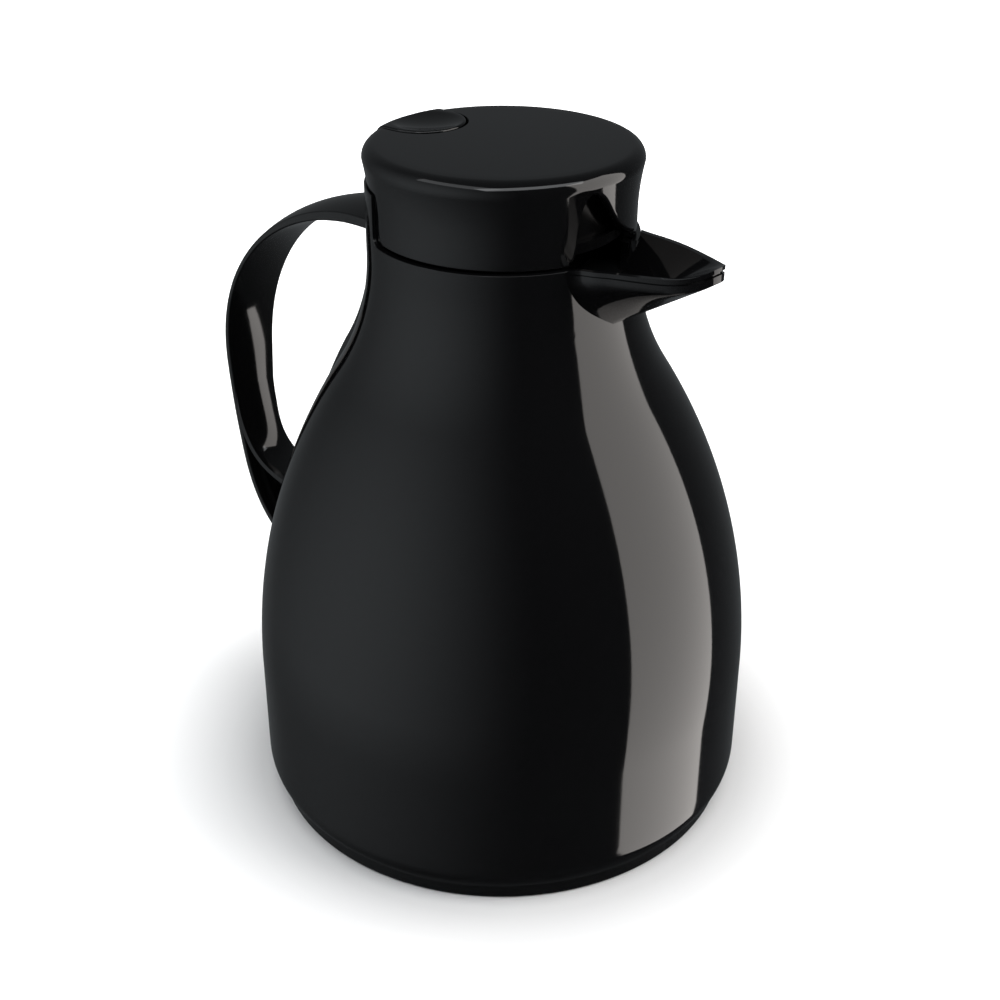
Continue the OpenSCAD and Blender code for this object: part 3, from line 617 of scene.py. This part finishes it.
make("thumb_pad", *pad_mesh(), "lever", SATIN, "lid_satin_black", ("thumb_lever",), sharp=40)
PIN_X, PIN_Z, HEAD_Z = -12.0, 207.0, 209.0
ARM_HALF, HUB_HALF, HUB_R, BORE_R = 6, 8.5, 3.2, 1.56
FORK_Y, TINE_HALF = 4.6, 1.4
arm_side = [(PAD_X, PAD_BASE + 1), (PAD_X, PAD_BASE - 1.5), (PIN_X - 3, PIN_Z - 2), (PIN_X, PIN_Z - 3),
            (PIN_X + 2, PIN_Z + 2), (PIN_X - 6, PAD_BASE + 1)]
arm = make("lever_arm", *prism(arm_side, -ARM_HALF, ARM_HALF, "xz"), "lever", INNER, "lid_satin_black")
soften(arm, 0.5, 2)


def tube_y(x, z, outer, bore, y0, y1, n=48):
    """Round tube along y."""
    turns = [2 * math.pi * k / n for k in range(n)]
    circles = (outer, y0), (outer, y1), (bore, y1), (bore, y0)
    verts = [(x + r * math.cos(a), y, z + r * math.sin(a)) for r, y in circles for a in turns]
    faces = [(i * n + k, i * n + (k + 1) % n, (i + 1) % 4 * n + (k + 1) % n, (i + 1) % 4 * n + k)
             for i in range(4) for k in range(n)]
    return verts, faces


hub = make("lever_hub", *tube_y(PIN_X, PIN_Z, HUB_R, BORE_R, -HUB_HALF, HUB_HALF), "lever", INNER, "lid_satin_black")
soften(hub, 0.3, 2)
# The tines reach under the head of the valve's stem
tine_side = [(PIN_X + 2.4, PIN_Z - 2), (0.9, PIN_Z - 2), (1.3, PIN_Z - 0.6), (1.3, HEAD_Z - 1.2),
             (0.8, HEAD_Z - 0.3), (0, HEAD_Z - 0.15), (-0.8, HEAD_Z - 0.3), (-1.4, PIN_Z + 0.6),
             (PIN_X + 2.4, PIN_Z + 0.6)]
for side, tag in ((-1, "right"), (1, "left")):
    v, f = prism(tine_side, side * FORK_Y - TINE_HALF, side * FORK_Y + TINE_HALF, "xz")
    tine = make("lever_tine_" + tag, v, f, "lever", INNER, "lid_satin_black")
    soften(tine, 0.25, 2)


# ------------------------------------------------------------------ handle
# Outside and inside of the strap, each an upper and a lower Bezier curve of (x, z)
GRIP = 120.2
O_UP = ((-42.0, 190.5), (-84.0, 190.5), (-GRIP, 162.6), (-GRIP, 119.6))
O_LOW = ((-GRIP, 119.6), (-GRIP, 74.6), (-GRIP + 2.7, 53.6), (-81.5, 41.0))
I_UP = ((-42.0, 187.3), (-82.0, 187.3), (-GRIP + 3.2, 161.6), (-GRIP + 3.2, 120.6))
I_LOW = ((-GRIP + 3.2, 120.6), (-GRIP + 3.2, 80.2), (-GRIP + 10, 80.5), (-81.5, 75.5))


CROWN, THICK, WEB, OFF_BODY, BAND_THICK = 1.2, 3.2, 2.6, 0.12, 3.3


def strap_half(x, z):
    """Half width of the strap: wider where it nears the neck."""
    w1 = pchip([-125, -90, -75, -60, -42, -33], [11.6, 11.6, 11.9, 12.8, 15.0, 15.5], x)
    w2 = pchip([36, 85, 100, 119.6, 140, 154, 172, 194], [7.5, 8.2, 9.1, 10.4, 11.3, 11.7, 15.2, 17], z)
    return min(w1, w2)


def outer_crown(z):
    """Crown of the outside, on the stretch that comes out of the neck."""
    return pchip([30, 145, 160, 176, 200], [0.0, 0.0, 0.9, 2.1, 2.2], z)


def beside(line, t, d):
    """Point of a curve, moved sideways by d."""
    a, b = bez(line, max(t - 1e-3, 0)), bez(line, min(t + 1e-3, 1))
    tx, tz = b[0] - a[0], b[1] - a[1]
    l = math.hypot(tx, tz)
    x, z = bez(line, t)
    return x - d * tz / l, z + d * tx / l


def ribbon(stations, ends, across=12, edge=3):
    """Closed band through stations of (outer point, inner point, share of the width), crowned on both sides."""
    verts, m = [], 0
    for (ox, oz), (ix, iz), share in stations:
        l = math.hypot(ix - ox, iz - oz)
        nx, nz = (ox - ix) / l, (oz - iz) / l
        # The inner crown fades out towards the neck
        crown = CROWN * min(1.0, max(0.0, (-ix - 60) / 35))
        bx, bz = nx * crown, nz * crown
        up = outer_crown(oz)
        loop = [(ox + nx * up * (1 - q * q), oz + nz * up * (1 - q * q), q) for q in steps(-1, 1, across)]
        loop += [(lerp(ox, ix + bx, k / edge), lerp(oz, iz + bz, k / edge), 1.0) for k in range(1, edge)]
        loop += [(ix + bx * q * q, iz + bz * q * q, q) for q in steps(1, -1, across)]
        loop += [(lerp(ix + bx, ox, k / edge), lerp(iz + bz, oz, k / edge), -1.0) for k in range(1, edge)]
        m = len(loop)
        verts += [(x, q * strap_half(x, z) * share, z) for x, z, q in loop]
    # Ends that meet the body lie on it
    for i in ends:
        for j in range(i * m, i * m + m):
            x, y, z = verts[j]
            r = body_r(z) + OFF_BODY
            verts[j] = (-math.sqrt(max(r * r - y * y, 1.0)), y, z)
    return verts, tube_faces(len(stations), m)


def band_mesh(across=14):
    """Band that lies on the body between the two roots of the strap."""
    heights = steps(42.5, 190.3, 90)
    verts = []
    for z in heights:
        b = pchip([36, 44, 75, 104, 130, 191], [8.5, 9.5, 13.0, 16.8, 15.2, 15.0], z)
        slope = body_r(min(z + 0.5, 192)) - body_r(z - 0.5)
        k = math.sqrt(1 + slope * slope)
        for off, ends in ((BAND_THICK, (-1, 1)), (OFF_BODY, (1, -1))):
            r = body_r(z) + off * k
            verts += [(-math.sqrt(r * r - (q * b) ** 2), q * b, z) for q in steps(*ends, across)]
    return verts, tube_faces(len(heights), 2 * (across + 1))


main = [(bez(O_UP, t), bez(I_UP, t), 1.0) for t in steps(0, 1, 46)]
main += [(bez(O_LOW, t), beside(O_LOW, t, THICK), 1.0) for t in steps(0, 1, 50)[1:]]
strap = make("strap", *ribbon(main, (0, len(main) - 1)), "jug", HANDLE, "handle_gloss_black", ("handle",))
soften(strap, 0.6)
# Ledge that leaves the strap and runs to the body under the fingers
LEDGE_START, LEDGE_GROW = 0.10, 0.14
ledge_line = []
for t in steps(LEDGE_START, 1, 40):
    grow = min(1.0, (t - LEDGE_START) / LEDGE_GROW)
    outer, inner = beside(I_LOW, t, -lerp(1.5, THICK, grow)), beside(I_LOW, t, -lerp(0.25, 0.0, grow))
    ledge_line.append((outer, inner, lerp(0.95, 1.0, grow)))
v, f = ribbon(ledge_line, (len(ledge_line) - 1,))
ledge = make("strap_ledge", v, f, "jug", HANDLE, "handle_gloss_black")
soften(ledge, 0.5)
# Web between strap and ledge; it stops short of the body and sinks into both
SINK, WEB_GAP = 0.8, 1.2
web_side = [beside(O_LOW, t, THICK - SINK) for t in steps(0.12, 0.97, 40)]
web_side += [beside(I_LOW, t, -THICK + SINK) for t in steps(0.97, 0.2, 40)]
web_side = [(x, z) for x, z in web_side if x < -body_r(z) - WEB_GAP]
make("strap_web", *prism(web_side, -WEB, WEB, "xz"), "jug", HANDLE, "handle_gloss_black")
band = make("strap_band", *band_mesh(), "jug", HANDLE, "handle_gloss_black")
soften(band, 0.8)


# ------------------------------------------------------------------ pouring lip
# The near side meets the neck lower down than the far one
LIP_NEAR = ((33.0, 15.5, 193.5), (37.3, 16.9, 194.0), (41.0, 18.0, 195.1)) + LIP_RIM[2:]


def edge_table(points):
    """Share of the way along the edge, and the three coordinates, each as a list."""
    run = [0.0]
    for a, b in zip(points, points[1:]):
        run.append(run[-1] + math.dist(a[:2], b[:2]))
    return [r / run[-1] for r in run], *([p[k] for p in points] for k in range(3))


FAR, NEAR = edge_table(LIP_RIM), edge_table(LIP_NEAR)
# Height of the rim's flat side and depth of the groove under it
TOP_H, GROOVE_D = 1.2, 0.6
# Keel line from inside the neck to the tip: x and height of its start, and how far and to which height it runs
KEEL_X, KEEL_Z, KEEL_RUN, KEEL_TIP = 30.0, 166.8, 41.0, 191.6
# Lowest levels of the collar's underside and of the pouring channel
UNDER_Z, CHANNEL_Z = 183.5, 186.0


def rim_z(x, edge):
    """Height of the rim at x."""
    return pchip(edge[1], edge[3], x)


def rim_plan(u, edge):
    """Point of the rim in plan at share u of its length."""
    return pchip(edge[0], edge[1], u), pchip(edge[0], edge[2], u)


def rim_moved(u, inset, edge):
    """The same point, moved inwards."""
    a, b = rim_plan(max(u - 2e-3, 0), edge), rim_plan(min(u + 2e-3, 1), edge)
    tx, ty = b[0] - a[0], b[1] - a[1]
    l = math.hypot(tx, ty)
    x, y = rim_plan(u, edge)
    return x + inset * ty / l, y - inset * tx / l


LAST_U = {}


def last_u(inset):
    """Where the rim, moved inwards, meets the middle plane."""
    if inset not in LAST_U:
        lo, hi = 0.5, 1.0
        for _ in range(40):
            m = (lo + hi) / 2
            lo, hi = (m, hi) if rim_moved(m, inset, FAR)[1] > 0 else (lo, m)
        LAST_U[inset] = lo if inset > 0 else 1.0
    return LAST_U[inset]


def rim_at(u, inset=0.0, edge=FAR):
    """Point of the rim's plan, u from 0 inside the neck to 1 at the tip, moved inwards."""
    if u >= last_u(inset):
        return rim_moved(last_u(inset), inset, FAR)[0], 0.0
    x, y = rim_moved(u, inset, edge)
    return x, max(y, 0.0)


def keel_z(x, root, tip):
    """Height of the keel line: root and tip say how far it is raised."""
    return lerp(KEEL_Z + root, KEEL_TIP + tip, (x - KEEL_X) / KEEL_RUN)


def keel_x(u, inset, far):
    """Place on the keel line that belongs to share u of the rim; far is where the tip's lies."""
    start = LIP_RIM[0][0]
    return lerp(32.5, far, (rim_at(u, inset)[0] - start) / (rim_at(1, inset)[0] - start))


def groove(u):
    """Height of the groove under the rim: it widens towards the tip."""
    return lerp(0.3, 1.0, u ** 2)


U = [1 - (1 - k / 44.0) ** 1.3 for k in range(45)]


def lip_loft(section):
    """Closed solid of both halves; a section is its outer half and its inner half, each ending at the middle."""
    near, far = [section(u, NEAR) for u in U], [section(u, FAR) for u in U]
    middle = len(near[0][0]) - 1
    m = middle + 1 + len(near[0][1])
    cols = [[(x, -y, z) for x, y, z in a + b] for a, b in near] + [a + b for a, b in far[-2::-1]]
    return [p for c in cols for p in c], tube_faces(len(cols), m, middle)


def skin_section(u, edge):
    """Section of the keeled skin: bulged outside, and straight inside."""
    ox, oy = rim_at(u, 0.1, edge)
    top = rim_z(ox, edge) - TOP_H - groove(u)
    side = lerp(1.5, 2.3, u)
    kx = keel_x(u, 0.1, 72.6)
    kz = keel_z(kx, 0, 0)
    bulge = lerp(1.65, 1.5, max(0.0, (kx - 40) / 32.6))
    out = [(ox, oy, top), (ox, oy, top - side / 2), (ox, oy, top - side)]
    for t in steps(0, 1, 14)[1:]:
        out.append((lerp(ox, kx, t), lerp(oy, min(1.0, oy), t ** bulge), lerp(top - side, kz, t)))
    out.append((kx, 0.0, kz))
    w = min(u, last_u(1.9))
    ix, iy = rim_at(w, 1.9, edge)
    kx = keel_x(w, 1.9, 72.0)
    kz = keel_z(kx, 2.6, 2.6)
    top = rim_z(ix, edge) - TOP_H - groove(w)
    inn = [(kx, 0.0, kz)]
    for t in steps(1, 0, 14):
        inn.append((lerp(ix, kx, t), lerp(iy, min(3.0, iy), t), lerp(top, kz, t)))
    return out, inn


def rim_section(u, edge):
    """Section of the rim and the channel: flat side, groove and hidden underside, then the channel."""
    ox, oy = rim_at(u, 0.0, edge)
    out = [(ox, oy, rim_z(ox, edge) - TOP_H * t) for t in steps(0, 1, 2)]
    w = min(u, last_u(GROOVE_D))
    gx, gy = rim_at(w, GROOVE_D, edge)
    gz = rim_z(gx, edge) - TOP_H
    out += [(gx, gy, gz), (gx, gy, gz - groove(w) - 0.4)]
    w = min(u, last_u(2.3))
    dx, dy = rim_at(w, 2.3, edge)
    kx = keel_x(w, 2.3, 69.6)
    kz = keel_z(kx, 3.4, 3.4)
    top = rim_z(dx, edge) - TOP_H - groove(w) - 0.4
    for t in steps(0, 1, 8):
        out.append((lerp(dx, kx, t), lerp(dy, min(4.0, dy), t), max(lerp(top, kz, t), UNDER_Z)))
    out.append((kx, 0.0, max(kz, UNDER_Z)))
    w = min(u, last_u(RIM_W))
    ix, iy = rim_at(w, RIM_W, edge)
    kx = keel_x(w, RIM_W, 69.6)
    kz = keel_z(kx, 8, 5)
    inn = [(kx, 0.0, max(kz, CHANNEL_Z))]
    for t in steps(1, 0, 16):
        inn.append((lerp(ix, kx, t), lerp(iy, min(3.5, iy), t), max(lerp(rim_z(ix, edge), kz, t), CHANNEL_Z)))
    return out, inn


def neck_tool(extra, z0, z1, r=None):
    """Solid of the body's outside between two heights, or a cylinder of radius r; both grown by extra."""
    return lathe([(0.0, z0)] + [((r or body_r(z)) + extra, z) for z in steps(z0, z1, 40)] + [(0.0, z1)])


skin = make("lip_skin", *lip_loft(skin_section), "jug", GLOSS, "lip_gloss_black", ("lip_shell",))
cut(skin, *neck_tool(0.1, 150.0, 196.0))
soften(skin, 0.3, 3, 30)
rim = make("lip_rim", *lip_loft(rim_section), "jug", GLOSS, "lip_gloss_black", ("pour_collar",))
cut(rim, *neck_tool(0.25, 193.3, 230.0, NECK_R))
cut(rim, *lathe([(0.0, 170.0), (36.5, 170.0), (36.5, 240.0), (0.0, 240.0)]))
soften(rim, 0.3, 3, 35)

# Ring of the collar inside the neck, open towards the lip
ring_profile = [(25.0, 179.4), (29.0, 179.4), (29.0, 183.0), (34.05, 183.0), (34.05, 179.4), (38.55, 179.4),
                (38.55, 193.05), (36.05, 193.05), (36.05, CHANNEL_Z), (26.0, CHANNEL_Z), (25.0, 185.0)]
ring = make("collar_ring", *lathe(ring_profile), "jug", INNER, "lip_gloss_black")
cut(ring, *prism([(30, -14.0), (60, -14.0), (60, 14.0), (30, 14.0)], CHANNEL_Z + 0.02, 200.0))
soften(ring, 0.3, 2)

# ------------------------------------------------------------------ stage, light, camera
def calc(tree, operation, a, b):
    """Output of a Math node; a is a socket, b a socket or a number."""
    if isinstance(b, float):
        return add_node(tree, "Math", {1: b}, {0: a}, operation=operation).outputs["Value"]
    return add_node(tree, "Math", None, {0: a, 1: b}, operation=operation).outputs["Value"]


def remap(tree, value, *span):
    """Output of a MapRange node."""
    return add_node(tree, "MapRange", spread(*span), {"Value": value}).outputs["Result"]


def towards(tree, direction, azimuth):
    """Cosine of the angle between a direction and an azimuth."""
    a = math.radians(azimuth)
    aim = {1: (math.cos(a), math.sin(a), 0.0)}
    return add_node(tree, "VectorMath", aim, {0: direction}, operation="DOT_PRODUCT").outputs["Value"]


LOBE_AZIMUTH, LOBE_POWER = -111, 0.53
BASE_AZIMUTH, BASE_POWER = -5, 0.08
GROUND_SHARE, GLOSS_SHARE = 0.08, 0.03

world = scene.world or bpy.data.worlds.new("World")
scene.world = world
world.use_nodes = True
wt = world.node_tree
wt.nodes.clear()
paths = add_node(wt, "LightPath").outputs
sky = add_node(wt, "TexCoord").outputs["Generated"]
lobe = calc(wt, "POWER", remap(wt, towards(wt, sky, LOBE_AZIMUTH), 0.2, 1.0), 2.0)
base = remap(wt, towards(wt, sky, BASE_AZIMUTH), 0.7, -0.5, 0.0, BASE_POWER)
studio = calc(wt, "ADD", calc(wt, "MULTIPLY", lobe, LOBE_POWER), base)
# Darker towards the ground, where the part mirrors its own foot and shadow
height = add_node(wt, "SeparateXYZ", None, {"Vector": sky}).outputs["Z"]
studio = calc(wt, "MULTIPLY", studio, remap(wt, height, -0.95, -0.45, GROUND_SHARE, 1.0))
# The white backdrop shows to the camera and through glass, and weakly in the gloss, as in the photographed studio
weak = calc(wt, "MULTIPLY", paths["Is Glossy Ray"], GLOSS_SHARE)
seen = calc(wt, "MAXIMUM", paths["Is Camera Ray"], paths["Is Transmission Ray"])
share = calc(wt, "MAXIMUM", seen, weak)
strength = add_node(wt, "Mix", {"B": 1.0}, {"Factor": share, "A": studio}, data_type="FLOAT")
hue = add_node(wt, "Mix", {"A": (0.90, 0.96, 1.0, 1), "B": (1, 1, 1, 1)}, {"Factor": seen}, data_type="RGBA")
backdrop = add_node(wt, "Background", None,
                    {"Strength": strength.outputs["Result"], "Color": hue.outputs["Result"]})
add_node(wt, "OutputWorld", None, {"Surface": backdrop.outputs["Background"]})


TARGET = Vector((0.0, 0.0, 0.11))


def panel(name, azimuth, elevation, distance, width, height, power, color):
    """Soft box that faces the object; azimuth is counted from +X towards +Y."""
    a, e = math.radians(azimuth), math.radians(elevation)
    pos = TARGET + distance * Vector((math.cos(a) * math.cos(e), math.sin(a) * math.cos(e), math.sin(e)))
    d = bpy.data.lights.new(name, "AREA")
    d.shape = "RECTANGLE"
    d.size, d.size_y = width, height
    d.energy = power
    d.color = color
    o = bpy.data.objects.new(name, d)
    scene.collection.objects.link(o)
    o.location = pos
    o.rotation_euler = (TARGET - pos).to_track_quat("-Z", "Y").to_euler()
    return o


panel("side_box", 33.0, 0.0, 1.6, 1.54, 3.4, 42.0, (1.0, 0.955, 0.92))
panel("top_box", -22.0, 56.0, 1.8, 2.4, 0.6, 11.0, (0.95, 0.975, 1.0))
panel("top_box_left", -100.0, 56.0, 1.8, 1.8, 0.6, 3.5, (0.95, 0.975, 1.0))
overhead = panel("overhead", -50.0, 84.0, 1.7, 2.6, 2.6, 31.0, (1.0, 1.0, 1.0))
overhead.visible_glossy = False

bpy.ops.mesh.primitive_plane_add(size=6.0, location=(0, 0, -0.0002))
floor = bpy.context.object
floor.name = "floor"
white, ft, surface = new_material("floor_white")
surface.inputs["Base Color"].default_value = (0.86, 0.86, 0.86, 1)
surface.inputs["Roughness"].default_value = 0.9
surface.inputs["Specular IOR Level"].default_value = 0.1
# A glow that only the camera sees lifts the floor to white; it fades out round the foot, which paints a darker shadow
# there on top of the lamps' faint real shadow
position = add_node(ft, "NewGeometry").outputs["Position"]
away = add_node(ft, "VectorMath", None, {0: position}, operation="LENGTH").outputs["Value"]
# Second ramp: no glow within 85 mm of the axis, full by 130 mm, a painted shadow round the foot
glow_and_painted_shadow = calc(ft, "ADD", remap(ft, away, 0.16, 0.7, 0.0, 0.8), remap(ft, away, 0.085, 0.13, 0.0, 0.46))
glow_and_painted_shadow = calc(ft, "MULTIPLY", add_node(ft, "LightPath").outputs["Is Camera Ray"], glow_and_painted_shadow)
emission = add_node(ft, "Emission", {"Color": (1, 1, 1, 1)}, {"Strength": glow_and_painted_shadow})
both = add_node(ft, "AddShader", None, {0: surface.outputs["BSDF"], 1: emission.outputs["Emission"]})
ft.links.new(both.outputs["Shader"], ft.nodes["Material Output"].inputs["Surface"])
floor.data.materials.append(white)
floor.visible_glossy = False

# Camera fitted to the photograph: focal length and picture width in pixels, angles in degrees, the rest in metres
FOCAL, PICTURE, SENSOR = 1550.0, 1000.0, 36.0
AZIMUTH, TILT, ROLL = 39.5, 29.15, 0.2
DISTANCE, HEIGHT, SHIFT = 0.44396, 0.34795, -0.0007
cam_data = bpy.data.cameras.new("camera")
cam_data.sensor_width = SENSOR
cam_data.lens = FOCAL * SENSOR / PICTURE
cam = bpy.data.objects.new("camera", cam_data)
scene.collection.objects.link(cam)
az = math.radians(AZIMUTH)
cam.location = (SHIFT * math.cos(az) + DISTANCE * math.sin(az), SHIFT * math.sin(az) - DISTANCE * math.cos(az), HEIGHT)
cam.rotation_mode = "XYZ"
view = (Matrix.Rotation(az, 4, "Z") @ Matrix.Rotation(math.radians(90 - TILT), 4, "X")
        @ Matrix.Rotation(math.radians(ROLL), 4, "Z"))
cam.rotation_euler = view.to_euler("XYZ")
scene.camera = cam

scene.view_settings.view_transform = "Standard"
